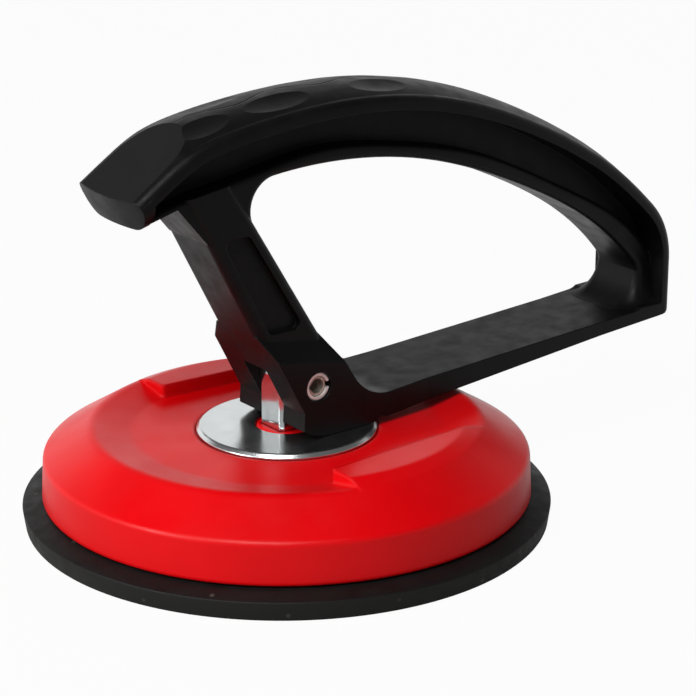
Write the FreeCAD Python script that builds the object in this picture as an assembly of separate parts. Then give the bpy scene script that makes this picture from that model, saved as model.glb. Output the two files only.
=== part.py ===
import FreeCAD, Part
import math
import os

# Suction lifter for floor tiles: one rubber pad under a moulded cover, and a D-handle
# whose cam feet stand on a steel disc and pull a post, and the pad's middle, upward.
# Millimetres, +Z up. The origin is the centre of the pad's sealing face, the lever's
# long end points along +X and the hinge pin lies along Y. Drawn locked, vacuum on.

V = FreeCAD.Vector
UP = V(0, 0, 1)

# Rubber pad
PAD_RADIUS = 60.0
PAD_EDGE_HEIGHT = 4.3
PAD_EDGE_DRAFT = 0.6
PAD_LAND_WIDTH = 8.0
PAD_RELIEF = 0.8
PAD_SEAL_GROOVE_WIDTH = 1.2
PAD_SEAL_GROOVES = 3
DIAPHRAGM_RADIUS = 46.0
DIAPHRAGM_THICKNESS = 3.0
DIAPHRAGM_GAP = 0.3

# Lever travel: the post sinks by STROKE while the handle is raised by SWING_DEG
SWING_DEG = 60.0
STROKE = 2.7
RELEASED_PAD_HEIGHT = 0.5

# Cover
COVER_RADIUS = 55.5
COVER_SEAT_HEIGHT = 5.9
COVER_RIM_HEIGHT = 15.3
COVER_SIDE_DRAFT = 0.5
COVER_WALL = 2.6
PLATEAU_RADIUS = 44.0
PLATEAU_HEIGHT = 22.0
DISH_RADIUS = 35.0
DISH_HEIGHT = 20.2
RIB_COUNT = 8
RIB_THICKNESS = 2.0
RIB_BOTTOM = 13.0

# Raised wings on both sides of the lever, which keep it in line
WING_HEIGHT = 23.3
WING_START_X = -12.0
WING_WALL_Y = 32.6
WING_TAPER_DEG = 3.5
WING_CORNER_RADIUS = 1.0

# Steel disc under the lever's feet
DISC_RADIUS = 20.4
DISC_THICKNESS = 2.0
DISC_TOP = 21.3
DISC_BEVEL = 0.8
DISC_RECESS_GAP = 0.4
COLLAR_RADIUS = 6.9
COLLAR_TOP = 21.1
COLLAR_GAP = 0.2
HUB_RADIUS = 10.0
HUB_BOTTOM = 12.6

# Lifting post and the plate in the rubber
POST_LENGTH_X = 9.0
POST_WIDTH_Y = 8.2
POST_CORNER = 0.8
POST_GUIDE_GAP = 0.25
FOOT_FLANGE_RADIUS = 9.0
FOOT_FLANGE_HEIGHT = 2.6
TENON_RADIUS = 4.0
RIVET_HEAD_RADIUS = 5.6
RIVET_HEAD_HEIGHT = 1.2
PLATE_RADIUS = 30.0
PLATE_THICKNESS = 2.5
PLATE_EDGE_RADIUS = 0.8
RUBBER_GAP = 0.1

# Hinge pins
PIN_HEIGHT = 33.3
PIN_RADIUS = 3.35
PIN_WALL = 0.9
PIN_SLOT = 1.5
PIN_RECESS = 0.5
INNER_PIN_WALL = 0.7
INNER_PIN_SLOT = 1.0
INNER_PIN_RECESS = 0.9
PIN_RUNNING_GAP = 0.05
PIN_SEAT_GAP = 0.02

# Handle widths, measured from its middle plane
BAND_HALF = 12.0
WEB_HALF = 3.0
RIM_HALF = 7.5
STRUT_HALF = 8.4
LEG_HALF = 12.4
BAR_HALF = 11.3
SLOT_HALF_GAP = 0.2

# Handle sections
BAND_THICKNESS = 3.2
BAND_CROWN = 2.0
BAND_EDGE_RADIUS = 2.2
RIM_EDGE_RADIUS = 1.4
STRUT_EDGE_RADIUS = 2.0
POCKET_DEPTH = 1.6
POCKET_MARGIN = 3.2
POCKET_RADIUS = 1.5
POCKET_TOP = 36.5
POCKET_BOTTOM = 13.0
FOOT_GAP = 0.1

# Handle outline in its middle plane, as (x, z) from the hinge pin's axis
TIP_TOP = (-46.4, 49.0)
TIP_BOTTOM = (-43.5, 42.5)
TIP_SLOPE_DEG = 33.5
TIP_LENGTH = 5.0
TIP_CHIN_RADIUS = 5.5
NOSE_RADIUS = 60.0
GRIP_CURVE = [(-38.6, 54.1), (-31.6, 58.0), (-24.0, 60.2), (-11.0, 62.1), (6.0, 63.2),
              (45.5, 57.4), (76.2, 43.7)]
SHOULDER = (102.2, 23.9)
SHOULDER_SLOPE_DEG = 44.5
HEEL_TOP = (108.3, 0.0)
HEEL_BOTTOM = (108.3, -4.3)
HEEL_RADIUS = 3.0
BAR_START = (19.5, -11.4)
FOOT_BACK_X = 16.5
LEG_FRONT_X = -3.9
LEG_KNEE_Z = -5.6
STRUT_FRONT_TOP = (-25.4, 36.0)
GRIP_UNDER = (-33.0, 45.2)

# Inner flange's outer edge, under the groove, from the grip's tip round to the heel
FLANGE_CURVE = [(-42.5, 43.6), (-37.5, 45.4), (-17.1, 49.0), (4.1, 52.2), (26.2, 50.0), (49.6, 44.2),
                (75.0, 32.3), (99.4, 17.0), (105.8, 9.5)]

# Finger scallops on the grip's crest, as their places along X on the near and the far side
SCALLOPS_NEAR = (-25.0, -5.5, 21.5)
SCALLOPS_FAR = (-16.5, 8.0, 31.0)
SCALLOP_OFFSET = 5.2
SCALLOP_DEPTH = 0.5
SCALLOP_LONG_RADIUS = 105.0
SCALLOP_CROSS_RADIUS = 24.0

# Legs flare out of the strut: upper edge at the strut's side, lower edge at the legs' side
FLARE_TOP = [(-12.0, 11.9), (6.3, 8.6)]
FLARE_FOOT = (-2.2, 6.1)

# Lower half of the handle seen from above, as (x, half-width)
LOWER_PLAN = [(-30.0, LEG_HALF), (13.0, LEG_HALF), (32.0, BAR_HALF), (86.0, BAR_HALF),
              (104.0, BAND_HALF), (HEEL_TOP[0], BAND_HALF)]
HEEL_STEP = -1.5
HEEL_OVERLAP = 0.3

# Hand opening's corners and its arch, from the hinge pin's axis
OPENING_BACK_TOP = (-18.2, 46.6)
OPENING_ARCH = [(5.0, 48.8), (38.6, 43.9), (62.9, 34.4), (88.0, 19.9)]
OPENING_FRONT_TOP = (101.2, 7.0)
OPENING_FRONT_BOTTOM = (101.0, -2.0)
OPENING_BACK_BOTTOM = (13.6, -5.9)
OPENING_RADII = (7.0, 6.0, 5.5, 12.0)
FLANGE_FOOT = 9.0

DISC_FLOOR = DISC_TOP - DISC_THICKNESS
FOOT_DEPTH = PIN_HEIGHT - DISC_TOP
DIAPHRAGM_BOTTOM = RELEASED_PAD_HEIGHT + STROKE
PLATE_BOTTOM = DIAPHRAGM_BOTTOM + DIAPHRAGM_THICKNESS + RUBBER_GAP
PLATE_TOP = PLATE_BOTTOM + PLATE_THICKNESS
SLOT_HALF = POST_WIDTH_Y / 2 + SLOT_HALF_GAP


def pin_point(point):
    """A handle outline point, given from the hinge pin, in the part's frame."""
    return V(point[0], 0, PIN_HEIGHT + point[1])


def corner_arc(before, here, after, radius):
    """Arc that rounds the corner at here, with the points where it leaves both straights."""
    to_before = (before - here).normalize()
    to_after = (after - here).normalize()
    half_angle = to_before.getAngle(to_after) / 2
    reach = radius / math.tan(half_angle)
    middle = (to_before + to_after).normalize()
    start = here + to_before * reach
    end = here + to_after * reach
    crest = here + middle * (radius / math.sin(half_angle) - radius)
    return start, Part.Arc(start, crest, end).toShape(), end


def chain(corners):
    """Closed outline in the XZ plane from (x, z, radius) corners, rounded where radius > 0."""
    places = [V(x, 0, z) for x, z, _ in corners]
    count = len(corners)
    pieces = []
    for i, (_, _, radius) in enumerate(corners):
        if radius > 0:
            pieces.append(corner_arc(places[i - 1], places[i], places[(i + 1) % count], radius))
        else:
            pieces.append((places[i], None, places[i]))
    edges = []
    for i, (_, arc, end) in enumerate(pieces):
        if arc:
            edges.append(arc)
        following = pieces[(i + 1) % count][0]
        if end.distanceToPoint(following) > 1e-6:
            edges.append(Part.LineSegment(end, following).toShape())
    return Part.Wire(edges)


def revolved(corners):
    """Solid of revolution about Z from a closed (radius, z, corner radius) outline."""
    return Part.Face(chain(corners)).revolve(V(0, 0, 0), UP, 360)


def slab(wire, half, edge_radius=0.0):
    """Plate from -half to +half in Y, with its outline edges on both sides rounded."""
    face = Part.Face(wire)
    face.translate(V(0, -half, 0))
    solid = face.extrude(V(0, 2 * half, 0))
    if edge_radius > 0:
        rims = [e for e in solid.Edges if e.BoundBox.YLength < 1e-6]
        solid = solid.makeFillet(edge_radius, rims)
    return solid


def block(x_range, y_range, z_range):
    """Box between the given limits."""
    size = [high - low for low, high in (x_range, y_range, z_range)]
    return Part.makeBox(*size, V(x_range[0], y_range[0], z_range[0]))


def joined(solids):
    """Union of overlapping solids, made one at a time."""
    whole = solids[0]
    for solid in solids[1:]:
        whole = whole.fuse(solid)
    return whole


def tidy(solid):
    """One clean solid from a Boolean result."""
    return solid.removeSplitter().Solids[0]


def rubber_pad():
    """Pad rim: seat for the cover above, relieved sealing lands below."""
    land_inner = PAD_RADIUS - PAD_LAND_WIDTH
    seat_outer = COVER_RADIUS + DIAPHRAGM_GAP
    inner = DIAPHRAGM_RADIUS + DIAPHRAGM_GAP
    rim = revolved([
        (inner, PAD_RELIEF, 0.3),
        (land_inner, PAD_RELIEF, 0),
        (land_inner, 0, 0),
        (PAD_RADIUS - PAD_EDGE_DRAFT, 0, 0.3),
        (PAD_RADIUS, PAD_EDGE_HEIGHT, 0.5),
        (seat_outer, COVER_SEAT_HEIGHT - 0.5, 0),
        (COVER_RADIUS - COVER_WALL, COVER_SEAT_HEIGHT, 0),
        (inner, COVER_SEAT_HEIGHT - 1.0, 0.5),
    ])
    pitch = PAD_LAND_WIDTH / (PAD_SEAL_GROOVES + 1)
    for i in range(PAD_SEAL_GROOVES):
        middle = land_inner + pitch * (i + 1)
        low = middle - PAD_SEAL_GROOVE_WIDTH / 2
        high = middle + PAD_SEAL_GROOVE_WIDTH / 2
        rim = rim.cut(revolved([(low, -1, 0), (high, -1, 0), (middle, PAD_RELIEF, 0)]))
    return tidy(rim)


def pad_diaphragm():
    """The pad's thin middle, held up by the plate, with a pocket over the post's peened end."""
    flat = PLATE_RADIUS + 1.0
    top = DIAPHRAGM_BOTTOM + DIAPHRAGM_THICKNESS
    pocket = RIVET_HEAD_RADIUS + DIAPHRAGM_GAP
    pocket_floor = top - RIVET_HEAD_HEIGHT - DIAPHRAGM_GAP
    return revolved([
        (0, DIAPHRAGM_BOTTOM, 0),
        (flat, DIAPHRAGM_BOTTOM, 6),
        (DIAPHRAGM_RADIUS, PAD_RELIEF, 0),
        (DIAPHRAGM_RADIUS, COVER_SEAT_HEIGHT - 1.0, 0.5),
        (flat, top, 6),
        (pocket, top, 0),
        (pocket, pocket_floor, 0),
        (0, pocket_floor, 0),
    ])


def insert_plate():
    """Steel disc bonded to the back of the rubber, holed for the post's tenon."""
    return revolved([
        (TENON_RADIUS, PLATE_BOTTOM, 0),
        (PLATE_RADIUS, PLATE_BOTTOM, PLATE_EDGE_RADIUS),
        (PLATE_RADIUS, PLATE_TOP, PLATE_EDGE_RADIUS),
        (TENON_RADIUS, PLATE_TOP, 0),
    ])


def post_section(gap=0.0):
    """Post's cross-section with chamfered corners, grown by a gap on every side."""
    x = POST_LENGTH_X / 2 + gap
    y = POST_WIDTH_Y / 2 + gap
    c = POST_CORNER
    points = [V(x, y - c, 0), V(x - c, y, 0), V(c - x, y, 0), V(-x, y - c, 0)]
    points += [V(-p.x, -p.y, 0) for p in points]
    return Part.makePolygon(points + points[:1])


def lifting_post():
    """Flat-sided bar with the pin's eye on top, a foot flange and a peened tenon."""
    shank = Part.Face(post_section()).extrude(UP * (PIN_HEIGHT - PLATE_TOP))
    shank.translate(UP * PLATE_TOP)
    eye_axis = V(0, -POST_WIDTH_Y / 2, PIN_HEIGHT)
    eye = Part.makeCylinder(POST_LENGTH_X / 2, POST_WIDTH_Y, eye_axis, V(0, 1, 0))
    head_bottom = PLATE_BOTTOM - RIVET_HEAD_HEIGHT
    foot = revolved([
        (0, head_bottom, 0),
        (RIVET_HEAD_RADIUS, head_bottom, 0.5),
        (RIVET_HEAD_RADIUS, PLATE_BOTTOM, 0),
        (TENON_RADIUS, PLATE_BOTTOM, 0),
        (TENON_RADIUS, PLATE_TOP, 0),
        (FOOT_FLANGE_RADIUS, PLATE_TOP, 0),
        (FOOT_FLANGE_RADIUS, PLATE_TOP + FOOT_FLANGE_HEIGHT, 0.6),
        (0, PLATE_TOP + FOOT_FLANGE_HEIGHT, 0),
    ])
    bore = Part.makeCylinder(PIN_RADIUS + PIN_RUNNING_GAP, 2 * POST_WIDTH_Y,
                             V(0, -POST_WIDTH_Y, PIN_HEIGHT), V(0, 1, 0))
    return tidy(shank.fuse([eye, foot]).cut(bore))


def cover_outline(floor):
    """Half section of the cover; floor lists the corners between its slope and the disc."""
    rim_radius = COVER_RADIUS - COVER_SIDE_DRAFT
    recess = DISC_RADIUS + DISC_RECESS_GAP
    inner_top = PLATEAU_HEIGHT - COVER_WALL - 1.8
    return [
        (COVER_RADIUS, COVER_SEAT_HEIGHT, 0.5),
        (rim_radius, COVER_RIM_HEIGHT, 1.2),
        *floor,
        (recess, DISC_FLOOR, 0),
        (COLLAR_RADIUS, DISC_FLOOR, 0),
        (COLLAR_RADIUS, COLLAR_TOP, 0.5),
        (0, COLLAR_TOP, 0),
        (0, HUB_BOTTOM, 0),
        (HUB_RADIUS, HUB_BOTTOM, 0.5),
        (HUB_RADIUS, inner_top - 1.0, 1.0),
        (recess, inner_top - 1.0, 2.0),
        (DISH_RADIUS, inner_top, 4.0),
        (PLATEAU_RADIUS - 1.5, inner_top + 1.2, 3.0),
        (rim_radius - COVER_WALL, COVER_RIM_HEIGHT - COVER_WALL + 0.8, 1.5),
        (COVER_RADIUS - COVER_WALL, COVER_SEAT_HEIGHT, 0),
    ]


def wing(side, outer):
    """One raised wing: the tall form's part beyond a wall that closes in toward +X."""
    lean = math.tan(math.radians(WING_TAPER_DEG))
    far_x = COVER_RADIUS
    far_y = WING_WALL_Y - lean * (far_x - WING_START_X)
    plan = [(WING_START_X, WING_WALL_Y), (far_x, far_y),
            (far_x, COVER_RADIUS), (WING_START_X, COVER_RADIUS)]
    points = [V(x, side * y, DISC_FLOOR - 1) for x, y in plan]
    prism = Part.Face(Part.makePolygon(points + points[:1])).extrude(UP * COVER_RADIUS)
    start = [e for e in prism.Edges
             if e.BoundBox.XLength < 1e-6 and e.BoundBox.YLength < 1e-6
             and abs(e.BoundBox.XMin - WING_START_X) < 1e-6
             and abs(e.BoundBox.YMin - side * WING_WALL_Y) < 1e-6]
    prism = prism.makeFillet(WING_CORNER_RADIUS, start)
    return outer.common(prism)


def cover():
    """Moulded cover: drafted skirt, dished plateau, two wings, disc recess, hub and ribs."""
    recess = DISC_RADIUS + DISC_RECESS_GAP
    low_floor = [
        (PLATEAU_RADIUS, PLATEAU_HEIGHT, 3.0),
        (DISH_RADIUS, DISH_HEIGHT, 8.0),
        (recess, DISH_HEIGHT, 0.3),
    ]
    wing_crest = PLATEAU_RADIUS - 3.5
    high_floor = [
        (PLATEAU_RADIUS, PLATEAU_HEIGHT, 2.0),
        (wing_crest, WING_HEIGHT, 1.5),
        (recess, WING_HEIGHT, 0),
    ]
    shell = revolved(cover_outline(low_floor))
    tall = revolved(cover_outline(high_floor))
    shell = shell.fuse([wing(side, tall) for side in (-1, 1)])
    ribs = []
    for i in range(RIB_COUNT):
        rib = block((HUB_RADIUS - 1, COVER_RADIUS - COVER_WALL - 0.4),
                    (-RIB_THICKNESS / 2, RIB_THICKNESS / 2), (RIB_BOTTOM, DISC_FLOOR - 0.5))
        rib.rotate(V(0, 0, 0), UP, 360 / RIB_COUNT * (i + 0.5))
        ribs.append(rib)
    ribs = joined(ribs)
    rim_radius = COVER_RADIUS - COVER_SIDE_DRAFT
    under = revolved([
        (0, 0, 0),
        (COVER_RADIUS - 1, 0, 0),
        (rim_radius - 1, COVER_RIM_HEIGHT - 1, 0),
        (PLATEAU_RADIUS, PLATEAU_HEIGHT - COVER_WALL, 0),
        (DISH_RADIUS, DISH_HEIGHT - 1, 0),
        (0, DISC_FLOOR - 1, 0),
    ])
    shell = shell.fuse(ribs.common(under))
    guide = Part.Face(post_section(POST_GUIDE_GAP)).extrude(UP * COVER_RADIUS)
    return tidy(shell.cut(guide))


def wear_disc():
    """Plated steel disc with a bevelled edge, located by the cover's collar."""
    return revolved([
        (COLLAR_RADIUS + COLLAR_GAP, DISC_FLOOR, 0),
        (DISC_RADIUS, DISC_FLOOR, 0),
        (DISC_RADIUS, DISC_TOP - DISC_BEVEL, 0),
        (DISC_RADIUS - DISC_BEVEL, DISC_TOP, 0.6),
        (COLLAR_RADIUS + COLLAR_GAP, DISC_TOP, 0.3),
    ])


def spring_pin(radius, wall, slot, half_length, slot_side):
    """Rolled pin with one lengthwise slot, facing +X or -X by slot_side."""
    start = V(0, -half_length, PIN_HEIGHT)
    axis = V(0, 1, 0)
    tube = Part.makeCylinder(radius, 2 * half_length, start, axis)
    ends = [e for e in tube.Edges if e.BoundBox.YLength < 1e-6]
    tube = tube.makeChamfer(wall * 0.35, ends)
    tube = tube.cut(Part.makeCylinder(radius - wall, 2 * half_length, start, axis))
    gap = block((0, radius + 1), (-half_length - 1, half_length + 1), (-slot / 2, slot / 2))
    if slot_side < 0:
        gap.rotate(V(0, 0, 0), UP, 180)
    gap.translate(UP * PIN_HEIGHT)
    return tidy(tube.cut(gap))


def hinge_pin():
    """Outer spring pin, through both legs and the post's eye."""
    return spring_pin(PIN_RADIUS, PIN_WALL, PIN_SLOT, LEG_HALF - PIN_RECESS, 1)


def inner_pin():
    """Second spring pin, nested in the first with its slot turned away."""
    radius = PIN_RADIUS - PIN_WALL - PIN_SEAT_GAP
    return spring_pin(radius, INNER_PIN_WALL, INNER_PIN_SLOT, LEG_HALF - INNER_PIN_RECESS, -1)


def heading(slope_deg):
    """Unit vector along +X in the XZ plane, raised by an angle."""
    angle = math.radians(slope_deg)
    return V(math.cos(angle), 0, math.sin(angle))


def grip_spline():
    """Grip's outer edge over the hand, from just before its tip to its shoulder."""
    along = heading(TIP_SLOPE_DEG)
    points = [pin_point(TIP_TOP) - along * BAND_THICKNESS]
    points += [pin_point(p) for p in (*GRIP_CURVE, SHOULDER)]
    curve = Part.BSplineCurve()
    curve.interpolate(points, InitialTangent=along, FinalTangent=heading(-SHOULDER_SLOPE_DEG))
    return curve


def grip_curve():
    """Edges of the grip's outer edge: over the hand, round the shoulder, down to the heel."""
    curve = grip_spline()
    start = curve.EndPoint
    down = heading(-SHOULDER_SLOPE_DEG)
    heel = pin_point(HEEL_TOP)
    reach = (heel.x - start.x) / down.x
    corner = start + down * reach
    turn = math.radians(90 - SHOULDER_SLOPE_DEG)
    radius = reach / math.tan(turn / 2)
    end = corner - UP * reach
    centre = end - V(radius, 0, 0)
    middle = centre + (corner - centre).normalize() * radius
    return [curve.toShape(), Part.Arc(start, middle, end).toShape(), Part.LineSegment(end, heel).toShape()]


def cam_curve():
    """Foot's rolling edge: its reach from the pin falls evenly as the lever is raised."""
    reach = FOOT_DEPTH - FOOT_GAP
    fall = STROKE / math.radians(SWING_DEG)
    points = []
    angle = 0.0
    while True:
        radius = reach - fall * angle
        x = -radius * math.sin(angle) + fall * math.cos(angle)
        z = -radius * math.cos(angle) - fall * math.sin(angle)
        points.append(pin_point((x, z)))
        if x < LEG_FRONT_X:
            break
        angle += math.radians(7.5)
    curve = Part.BSplineCurve()
    curve.interpolate(points)
    return curve, points


def frame_outline():
    """Whole handle's outline in its middle plane."""
    cam, cam_points = cam_curve()
    heel, heel_arc, bar_end = corner_arc(
        pin_point(HEEL_TOP), pin_point(HEEL_BOTTOM), pin_point(BAR_START), HEEL_RADIUS)
    foot_bottom = FOOT_GAP - FOOT_DEPTH
    path = [bar_end] + [pin_point(p) for p in (
        BAR_START, (FOOT_BACK_X + 1.0, foot_bottom + 1.0), (FOOT_BACK_X, foot_bottom))]
    path.append(cam_points[0])
    front = [cam_points[-1]] + [pin_point(p) for p in (
        (LEG_FRONT_X, LEG_KNEE_Z), STRUT_FRONT_TOP, GRIP_UNDER, TIP_BOTTOM)]
    front.append(grip_spline().StartPoint)
    pairs = list(zip(path, path[1:])) + list(zip(front, front[1:])) + [(pin_point(HEEL_TOP), heel)]
    edges = [Part.LineSegment(a, b).toShape() for a, b in pairs]
    return Part.Wire(Part.__sortEdges__(grip_curve() + edges + [heel_arc, cam.toShape()]))


def hand_opening(half):
    """Prism the shape of the hand opening, with its corners rounded."""
    arch = [pin_point(p) for p in (OPENING_BACK_TOP, *OPENING_ARCH, OPENING_FRONT_TOP)]
    corners = [arch[0], arch[-1], pin_point(OPENING_FRONT_BOTTOM), pin_point(OPENING_BACK_BOTTOM)]
    curve = Part.BSplineCurve()
    curve.interpolate(arch)
    edges = [curve.toShape()]
    for i in range(1, 4):
        edges.append(Part.LineSegment(corners[i], corners[(i + 1) % 4]).toShape())
    tool = slab(Part.Wire(edges), half)
    for place, radius in zip(corners, OPENING_RADII):
        edge = [e for e in tool.Edges
                if abs(e.BoundBox.YLength - 2 * half) < 1e-3
                and math.hypot(e.CenterOfMass.x - place.x, e.CenterOfMass.z - place.z) < 0.01]
        tool = tool.makeFillet(radius, edge)
    return tool


def curved_edges(solid, half):
    """Freely curved edges that lie in the two outer side planes, y = -half and y = half."""
    return [e for e in solid.Edges
            if e.BoundBox.YLength < 1e-6 and abs(abs(e.CenterOfMass.y) - half) < 1e-6
            and e.Curve.TypeId == "Part::GeomBSplineCurve"]


def grip_band():
    """Broad crowned flange swept along the grip's outer edge."""
    w, t, r = BAND_HALF, BAND_THICKNESS, BAND_EDGE_RADIUS
    start = grip_spline().StartPoint
    along = heading(TIP_SLOPE_DEG)
    out = V(-along.z, 0, along.x)
    side = V(0, 1, 0)

    def place(y, height):
        return start + side * y + out * height

    corner = r * (1 - math.sqrt(0.5))
    edges = [
        Part.Arc(place(-w, -r), place(-w + corner, -corner), place(-w + r, 0)),
        Part.Arc(place(-w + r, 0), place(0, BAND_CROWN), place(w - r, 0)),
        Part.Arc(place(w - r, 0), place(w - corner, -corner), place(w, -r)),
        Part.LineSegment(place(w, -r), place(w, -t)),
        Part.LineSegment(place(w, -t), place(-w, -t)),
        Part.LineSegment(place(-w, -t), place(-w, -r)),
    ]
    section = Part.Wire([e.toShape() for e in edges])
    return Part.Wire(grip_curve()).makePipeShell([section], True, False)


def region(points, half=LEG_HALF + 1):
    """Prism over a polygon given from the hinge pin, to keep one stretch of the outline."""
    return slab(Part.makePolygon([pin_point(p) for p in points + points[:1]]), half)


def under_flange(half, edge_radius=0.0):
    """Prism that holds all of the handle below the groove."""
    curve = Part.BSplineCurve()
    curve.interpolate([pin_point(p) for p in FLANGE_CURVE])
    low = -3 * FOOT_DEPTH
    corners = [curve.EndPoint, pin_point((FLANGE_CURVE[-1][0], low)), pin_point((FLANGE_CURVE[0][0], low)),
               curve.StartPoint]
    edges = [Part.LineSegment(a, b).toShape() for a, b in zip(corners, corners[1:])]
    solid = slab(Part.Wire([curve.toShape()] + edges), half)
    if edge_radius > 0:
        solid = solid.makeFillet(edge_radius, curved_edges(solid, half))
    return solid


def inner_flange(outline):
    """Flange round the hand opening, rounded for the fingers, up to the grip's tip."""
    tip_x, heel_x = FLANGE_CURVE[0][0], HEEL_TOP[0]
    front_x, front_z = OPENING_FRONT_BOTTOM
    back_x, back_z = OPENING_BACK_TOP
    arch = region([(tip_x, STRUT_FRONT_TOP[1]), (tip_x, 2 * back_z), (heel_x, 2 * back_z),
                   (heel_x, front_z), (front_x - FLANGE_FOOT, front_z), (front_x / 2, back_z / 2),
                   (back_x + FLANGE_FOOT, back_z - FLANGE_FOOT), STRUT_FRONT_TOP])
    opening = hand_opening(RIM_HALF + 1)
    inside = opening.BoundBox
    plate = block((tip_x - 1, heel_x + 1), (-RIM_HALF, RIM_HALF), (0, 2 * back_z + PIN_HEIGHT))
    plate = plate.cut(opening)
    lip = [e for e in plate.Edges
           if e.BoundBox.YLength < 1e-6
           and e.BoundBox.XMin > inside.XMin - 0.1 and e.BoundBox.XMax < inside.XMax + 0.1]
    plate = plate.makeFillet(RIM_EDGE_RADIUS, lip)
    plate = plate.common(under_flange(RIM_HALF, RIM_EDGE_RADIUS))
    return plate.common(arch).common(slab(outline, LEG_HALF))


def grip_tip():
    """Solid end of the grip, with its lower edges rounded like a chin."""
    low = pin_point(TIP_BOTTOM)
    along = (pin_point(GRIP_UNDER) - low).normalize()
    up = V(-along.z, 0, along.x)
    depth = 4 * BAND_THICKNESS
    start = low - along * depth
    corners = [start + V(0, y, 0) + up * h for y, h in
               ((-BAND_HALF, depth), (-BAND_HALF, 0), (BAND_HALF, 0), (BAND_HALF, depth))]
    near = corner_arc(corners[0], corners[1], corners[2], TIP_CHIN_RADIUS)
    far = corner_arc(corners[1], corners[2], corners[3], TIP_CHIN_RADIUS)
    pairs = [(corners[0], near[0]), (near[2], far[0]), (far[2], corners[3]), (corners[3], corners[0])]
    edges = [Part.LineSegment(a, b).toShape() for a, b in pairs]
    chin = Part.Face(Part.Wire(Part.__sortEdges__(edges + [near[1], far[1]]))).extrude(along * 3 * depth)
    top = TIP_TOP[1] - 0.6 * BAND_THICKNESS
    rise = math.tan(math.radians(TIP_SLOPE_DEG))
    back = TIP_TOP[0] + TIP_LENGTH
    side = region([(TIP_TOP[0] - depth, TIP_BOTTOM[1] - depth), (back, TIP_BOTTOM[1] - depth),
                   (back, top + TIP_LENGTH * rise), (TIP_TOP[0] - depth, top - depth * rise)])
    return chin.common(side)


def nose_cut():
    """What lies beyond the grip's slightly bowed end face."""
    top = pin_point(TIP_TOP)
    down = (pin_point(TIP_BOTTOM) - top).normalize()
    inward = V(-down.z, 0, down.x)
    reach = 5 * BAND_THICKNESS
    bow = Part.makeCylinder(NOSE_RADIUS, 2 * reach, top + inward * NOSE_RADIUS - down * reach, down)
    beyond = [top - down * reach - inward * reach, top + down * reach - inward * reach,
              top + down * reach + inward * BAND_THICKNESS, top - down * reach + inward * BAND_THICKNESS]
    return slab(Part.makePolygon(beyond + beyond[:1]), LEG_HALF + 3).cut(bow)


def ramp_cut():
    """What stands above the flat thumb ramp behind the grip's tip."""
    rise = math.tan(math.radians(TIP_SLOPE_DEG))
    x, z = TIP_TOP
    run = 8 * BAND_THICKNESS
    return region([(x - run, z - run * rise), (x + run, z + run * rise), (x - run, z + run * rise)])


def scallop(x, side):
    """Shallow finger hollow at one side of the grip's crest, as the tool that cuts it."""
    curve = grip_spline()
    low, high = curve.FirstParameter, curve.LastParameter
    for _ in range(40):
        middle = (low + high) / 2
        if curve.value(middle).x < x:
            low = middle
        else:
            high = middle
    here = curve.value(low)
    along = curve.tangent(low)[0]
    out = V(-along.z, 0, along.x)
    half = BAND_HALF - BAND_EDGE_RADIUS
    crown_radius = (half ** 2 + BAND_CROWN ** 2) / (2 * BAND_CROWN)
    tilt = math.asin(SCALLOP_OFFSET / crown_radius)
    normal = out * math.cos(tilt) + V(0, side * math.sin(tilt), 0)
    place = here + out * (BAND_CROWN - crown_radius) + normal * (crown_radius - SCALLOP_DEPTH)
    ring = SCALLOP_LONG_RADIUS - SCALLOP_CROSS_RADIUS
    axle = along.cross(normal)
    return Part.makeTorus(ring, SCALLOP_CROSS_RADIUS, place + normal * SCALLOP_LONG_RADIUS, axle)


def strut():
    """Raked strut between grip and hinge, pocketed on both sides."""
    top = OPENING_BACK_TOP[1] + 5.0
    lean = (OPENING_BACK_TOP[0] - OPENING_BACK_BOTTOM[0]) / (OPENING_BACK_TOP[1] - OPENING_BACK_BOTTOM[1])
    rise = (STRUT_FRONT_TOP[0] - LEG_FRONT_X) / (STRUT_FRONT_TOP[1] - LEG_KNEE_Z)

    def front(z):
        return LEG_FRONT_X + rise * (z - LEG_KNEE_Z)

    def back(z):
        return OPENING_BACK_BOTTOM[0] + lean * (z - OPENING_BACK_BOTTOM[1])

    outline = [(front(top), top, 0), (back(top), top, 0), (back(-4), -4, 0), (front(-4), -4, 0)]
    solid = slab(chain([(x, PIN_HEIGHT + z, r) for x, z, r in outline]), STRUT_HALF, STRUT_EDGE_RADIUS)
    m = POCKET_MARGIN
    high, low = POCKET_TOP, POCKET_BOTTOM
    pocket = [(front(high) + m, high), (back(high) - m, high), (back(low) - m, low), (front(low) + m, low)]
    for side in (-1, 1):
        cut = slab(chain([(x, PIN_HEIGHT + z, POCKET_RADIUS) for x, z in pocket]), POCKET_DEPTH)
        cut.translate(V(0, side * STRUT_HALF, 0))
        solid = solid.cut(cut)
    return solid.common(under_flange(LEG_HALF))


def flare_cut(side):
    """What stands proud of the sloped facet between strut and leg on one side."""
    front, back = (pin_point(p) + V(0, side * STRUT_HALF, 0) for p in FLARE_TOP)
    foot = pin_point(FLARE_FOOT) + V(0, side * LEG_HALF, 0)
    along = (back - front).normalize()
    outward = foot - front
    outward = (outward - along * outward.dot(along)).normalize()
    normal = along.cross(outward) * side
    if normal.z < 0:
        normal = normal * -1
    reach = 2 * LEG_HALF
    corners = [front - along * reach - outward * reach, back + along * reach - outward * reach,
               back + along * reach + outward * reach, front - along * reach + outward * reach]
    return Part.Face(Part.makePolygon(corners + corners[:1])).extrude(normal * reach)


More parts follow.
